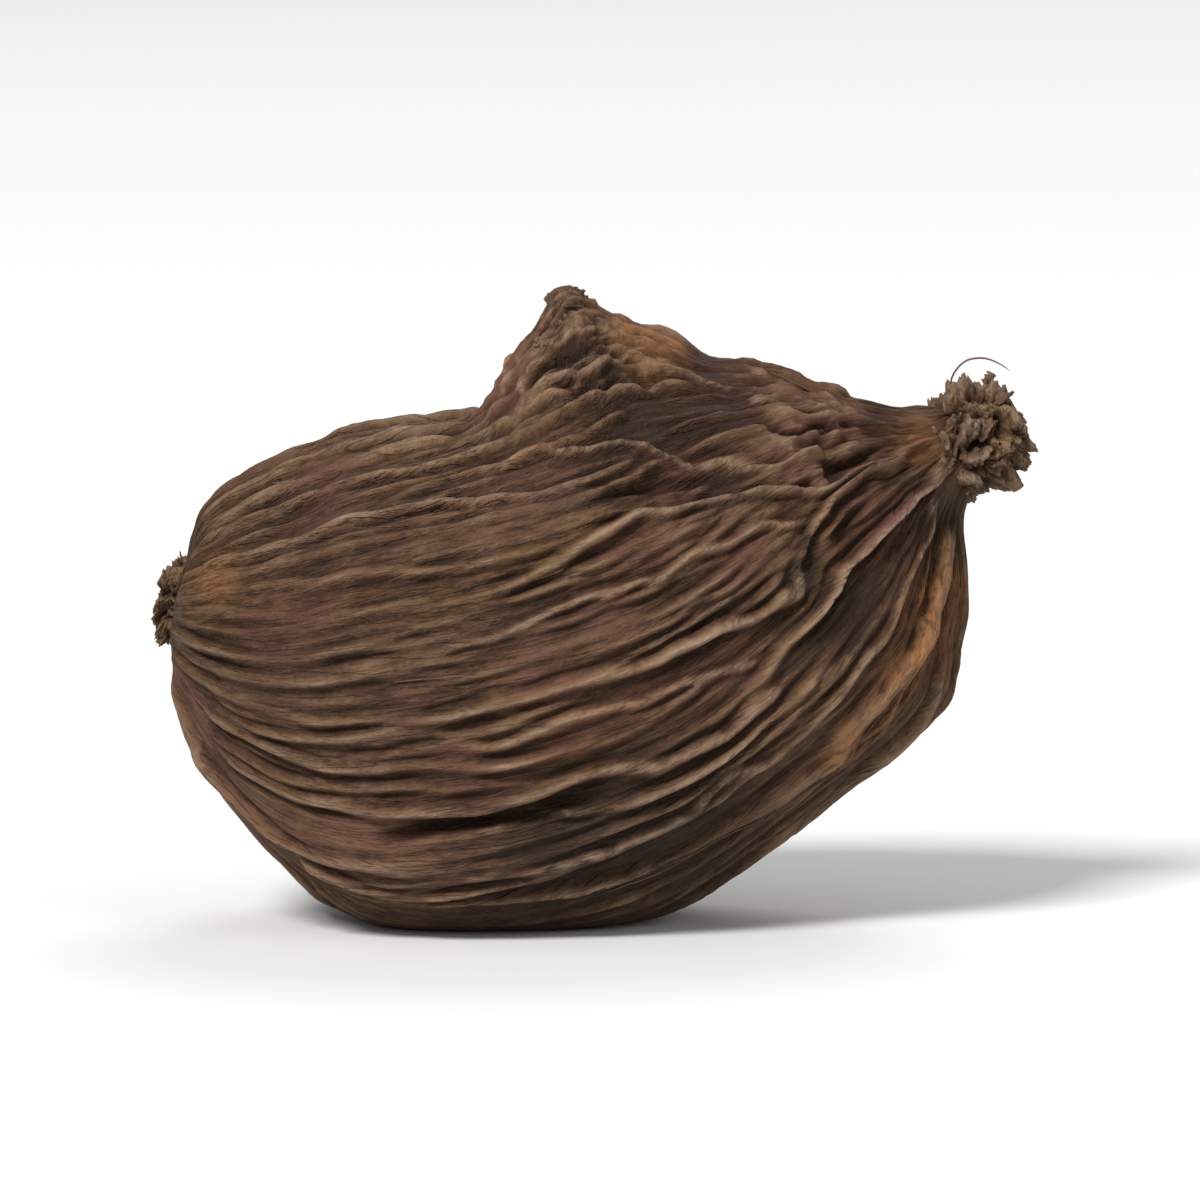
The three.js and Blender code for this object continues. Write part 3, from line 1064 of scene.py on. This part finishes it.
def flake(rng, root, way, side, length, width):
    """A thin torn scale: a small curled sheet with a ragged outline, as its points and faces."""
    size = (FLAKE_ROWS, FLAKE_COLUMNS)
    along = np.linspace(0, 1, FLAKE_ROWS)[:, None]
    across = np.linspace(-1, 1, FLAKE_COLUMNS)[None, :]
    up = np.cross(way, side)
    bulge = np.sin(math.pi * (0.2 + 0.72 * along))
    ragged = rng.uniform(-0.12, 0.12, size)
    outline = 0.5 * width * (0.5 + 0.5 * bulge) * (1 + ragged)
    teeth = rng.uniform(-0.35, 0.1, FLAKE_TEETH)
    teeth = np.interp(np.linspace(0, FLAKE_TEETH - 1, FLAKE_COLUMNS), range(FLAKE_TEETH), teeth)
    torn = 1 + teeth[None, :] * along
    curl = length * rng.normal(0.12, 0.22)
    cup = width * rng.uniform(0.05, 0.4)
    uneven = 0.05 * rng.normal(0, 1, size)
    rise = curl * along ** 2 - cup * across ** 2 + uneven
    points = (
        root
        + way * (length * along * torn)[..., None]
        + side * (outline * across)[..., None]
        + up * rise[..., None]
    )
    index = np.arange(FLAKE_ROWS * FLAKE_COLUMNS).reshape(size)
    corners = [index[:-1, :-1], index[:-1, 1:], index[1:, 1:], index[1:, :-1]]
    return points.reshape(-1, 3), np.stack(corners, axis=-1).reshape(-1, 4).tolist()


def flakes_object(name, flakes, material):
    piece = sheets_object(name, flakes, material)
    thickness = piece.modifiers.new("thickness", "SOLIDIFY")
    thickness.thickness = FLAKE_THICKNESS * MM
    thickness.offset = 0
    return piece


def lump_points(start, axis, shape):
    """The rings of a crumbled mass round a short line, and how far each point stands out."""
    side = unit(np.cross(axis, FRONT_TO_BACK))
    up = np.cross(side, axis)
    keys = np.array(shape["radii"])
    shares = np.linspace(0, 1, LUMP_RINGS)
    radius = np.interp(shares, keys[:, 0], keys[:, 1])[:, None]
    turns = np.linspace(0, math.tau, LUMP_STEPS_AROUND, endpoint=False)
    ways = np.cos(turns)[:, None] * side + np.sin(turns)[:, None] * up
    points = start + axis * shape["length"] * shares[:, None, None] + radius[..., None] * ways[None]
    rise = np.array([crumble(point) for point in points.reshape(-1, 3)]).reshape(LUMP_RINGS, -1)
    loose = 0.3 + 0.7 * ease(0.1, 0.5, shares)[:, None]
    rise = shape["roughness"] * even_out(rise) * loose * np.minimum(1, radius)
    outward = ways[None] + 0.5 * axis * shares[:, None, None]
    return points + rise[..., None] * outward, rise


def build_lump(name, start, axis, shape, material):
    points, rise = lump_points(start, axis, shape)
    ends = [points[0].mean(axis=0), points[-1].mean(axis=0)]
    mesh = smooth_mesh(name, *closed_grid(points, *ends))
    # Paler where the crumbs stand out, and painted shade in their recesses
    stands_out = rise - blur_both(rise, *LUMP_BLUR)
    paint(mesh, "tone", np.clip(LUMP_TONE + LUMP_CONTRAST * stands_out, 0, 1))
    for mask in ("crest", "ruddy", "worn", "plain"):
        paint(mesh, mask, np.zeros_like(rise))
    paint_grain(mesh, points, ends)
    return add_object(name, mesh, material)


def ring_at(skin, at):
    return int(np.abs(skin.at[:, 0] - at).argmin())


def stump_line(skin):
    """Where the stump starts, and the direction to the tip."""
    start = skin.point[ring_at(skin, STUMP_STARTS_AT)].mean(axis=0)
    return start, unit(skin.tip - start)


def stump_bracts(rng, skin):
    start, axis = stump_line(skin)
    made = []
    for i in range(BRACT_COUNT):
        turn = math.tau * (i * BRACT_TURN + rng.uniform(-0.05, 0.05))
        out = unit(np.cross(axis, FRONT_TO_BACK)) * math.cos(turn) + (0.0, math.sin(turn), 0.0)
        out = unit(out - axis * (out @ axis))
        share = rng.uniform(0.3, 0.9)
        radius = np.interp(share, *np.array(STUMP["radii"]).T)
        root = start + axis * STUMP["length"] * share + out * radius * 0.9
        forward = axis * rng.uniform(0.4, 1.0)
        outward = out * rng.uniform(0.1, 0.6)
        way = unit(forward + outward + rng.normal(0, 0.25, 3))
        side = unit(np.cross(way, out) + rng.normal(0, 0.2, 3))
        made.append(flake(rng, root, way, side, rng.uniform(*BRACT_LENGTHS), rng.uniform(*BRACT_WIDTHS)))
    return made


def peak_flakes(rng, skin, grown):
    away = np.hypot(skin.point[..., 0] - PEAK[0], skin.point[..., 2] - PEAK[1])
    near = np.argwhere(away < SCRAP_REACH)
    made = []
    for _ in range(SCRAP_COUNT):
        ring, column = near[rng.integers(len(near))]
        normal = skin.normal[ring, column]
        lifted = 0.35 * normal
        way = unit(lifted + skin.along[ring] * rng.uniform(-1, 1) + rng.normal(0, 0.3, 3))
        side = unit(np.cross(way, normal))
        root = grown[ring, column] - normal * 0.1 - way * 0.3
        length = rng.uniform(*SCRAP_LENGTHS)
        made.append(flake(rng, root, way, side, length, rng.uniform(*SCRAP_WIDTHS)))
    return made


def fibre_route(rng, skin):
    """The rings and the columns of the grid that one fibre runs over."""
    first = ring_at(skin, rng.uniform(*FIBRE_STARTS))
    column = int(round(rng.uniform(0, math.tau) / math.tau * STEPS_AROUND)) % STEPS_AROUND
    rings = np.arange(first, min(first + rng.integers(*FIBRE_RINGS), LAST_FIBRE_RING))
    if len(rings) < FEWEST_FIBRE_RINGS:
        return None
    wander = np.cumsum(rng.normal(0, FIBRE_WANDER, len(rings))).astype(int)
    return rings, (column + wander) % STEPS_AROUND


def loose_fibres(rng, skin, grown):
    """Thin fibres that lie along the ribs and lift off at one end."""
    made = []
    for _ in range(FIBRE_COUNT):
        route = fibre_route(rng, skin)
        if route is None or grown[route][:, 2].min() < LOWEST_FIBRE:
            continue
        count = len(route[0])
        lift = 0.01 + rng.uniform(*FIBRE_LIFT) * np.linspace(0, 1, count) ** 4
        if rng.random() < 0.5:
            lift = lift[::-1]
        normal = skin.normal[route]
        path = smooth_path(grown[route], 2) + normal * lift[:, None]
        side = np.cross(normal, unit(np.gradient(path, axis=0)))
        made.append(strip(path, side, rng.uniform(*FIBRE_WIDTHS) * taper(count), FIBRE_THICKNESS))
    return made


def stump_hair():
    corners = np.array(STUMP_HAIR)
    share = np.linspace(0, len(corners) - 1, HAIR_STEPS)
    path = np.stack([np.interp(share, range(len(corners)), corners[:, i]) for i in range(3)], axis=1)
    side = np.tile(FRONT_TO_BACK, (HAIR_STEPS, 1))
    return [strip(smooth_path(path, 3), side, HAIR_WIDTH * taper(HAIR_STEPS), HAIR_THICKNESS)]


def build_husk(rng, skin, material):
    relief = skin_relief(rng, skin)
    grown = grow(rng, skin, relief)
    mesh = smooth_mesh("husk", *closed_grid(grown, skin.base, grown[-1].mean(axis=0)))
    paint(mesh, "tone", tone_and_painted_shade(rng, skin, relief))
    paint(mesh, "crest", relief.crest)
    paint(mesh, "ruddy", relief.ruddy)
    paint(mesh, "plain", relief.plain)
    paint(mesh, "worn", worn_mask(rng, skin, relief))
    paint_grain(mesh, husk_grain(skin), GRAIN_POLES)
    return add_object("husk", mesh, material), grown


def knob_start(grown):
    """The root of the knob, inside the husk under its high point."""
    near_peak = np.abs(grown[..., 0] - PEAK[0]) < KNOB_SEARCH
    top = grown.reshape(-1, 3)[np.where(near_peak, grown[..., 2], 0).argmax()]
    return top - KNOB_WAY * (KNOB["length"] - KNOB_STANDS_OUT)


def build_pieces(rng, skin, grown, husk_skin):
    crumbs = fibre_material("withered_flower")
    fibres = fibre_material("dry_fibre")
    stalk_start = skin.base + skin.along[0] * STALK["length"] * STALK_SET_IN
    return [
        build_lump("flower_stump", *stump_line(skin), STUMP, husk_skin),
        build_lump("stalk_stub", stalk_start, -skin.along[0], STALK, husk_skin),
        build_lump("peak_knob", knob_start(grown), KNOB_WAY, KNOB, husk_skin),
        flakes_object("stump_bracts", stump_bracts(rng, skin), crumbs),
        flakes_object("peak_flakes", peak_flakes(rng, skin, grown), crumbs),
        sheets_object("loose_fibres", loose_fibres(rng, skin, grown), fibres),
        sheets_object("stump_hair", stump_hair(), crumbs),
    ]


def build_floor():
    reach = FLOOR_REACH_METRES
    corners = [(-reach, -reach, 0), (reach, -reach, 0), (reach, reach, 0), (-reach, reach, 0)]
    mesh = bpy.data.meshes.new("floor")
    mesh.from_pydata(corners, [], [(0, 1, 2, 3)])
    paper = Nodes("floor_paper").finish(Base_Color=(0.78, 0.78, 0.78), Roughness=0.9)
    floor = add_object("floor", mesh, paper)


def aim(thing, target):
    thing.rotation_euler = (Vector(target) - thing.location).to_track_quat("-Z", "Y").to_euler()


def add_light(target, name, where, size, watts):
    light = bpy.data.lights.new(name, "AREA")
    light.size = size
    light.energy = watts
    lamp = bpy.data.objects.new(name, light)
    lamp.location = where
    bpy.context.scene.collection.objects.link(lamp)
    aim(lamp, target)


def build_studio(target):
    for light in LIGHTS_METRES:
        add_light(target, **light)
    world = bpy.data.worlds.new("studio")
    world.use_nodes = True
    background = world.node_tree.nodes["Background"]
    background.inputs["Color"].default_value = (1, 1, 1, 1)
    background.inputs["Strength"].default_value = WORLD_STRENGTH
    bpy.context.scene.world = world
    bpy.context.scene.view_settings.view_transform = "Standard"


def build_camera(low, high, target):
    camera = bpy.data.cameras.new("camera")
    camera.lens = LENS
    camera.clip_end = 20
    half_frame = (high.x - low.x) / FRAME_FILL / 2
    distance = half_frame / (camera.sensor_width / 2 / camera.lens)
    rise = math.radians(ELEVATION)
    stand = bpy.data.objects.new("camera", camera)
    stand.location = target + distance * Vector((0, -math.cos(rise), math.sin(rise)))
    bpy.context.scene.collection.objects.link(stand)
    aim(stand, target)
    bpy.context.scene.camera = stand


def main():
    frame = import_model()
    rng = np.random.default_rng(SEED)
    noise.seed_set(SEED)
    skin = wrap_skin(frame["nodes"]["pod"])
    husk_skin = husk_material()
    husk, grown = build_husk(rng, skin, husk_skin)
    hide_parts("pod")
    for piece in [husk, *build_pieces(rng, skin, grown, husk_skin)]:
        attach(piece, "root")
    build_floor()
    low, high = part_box("pod")
    target = (low + high) / 2
    build_camera(low, high, target)
    build_studio(target)


main()
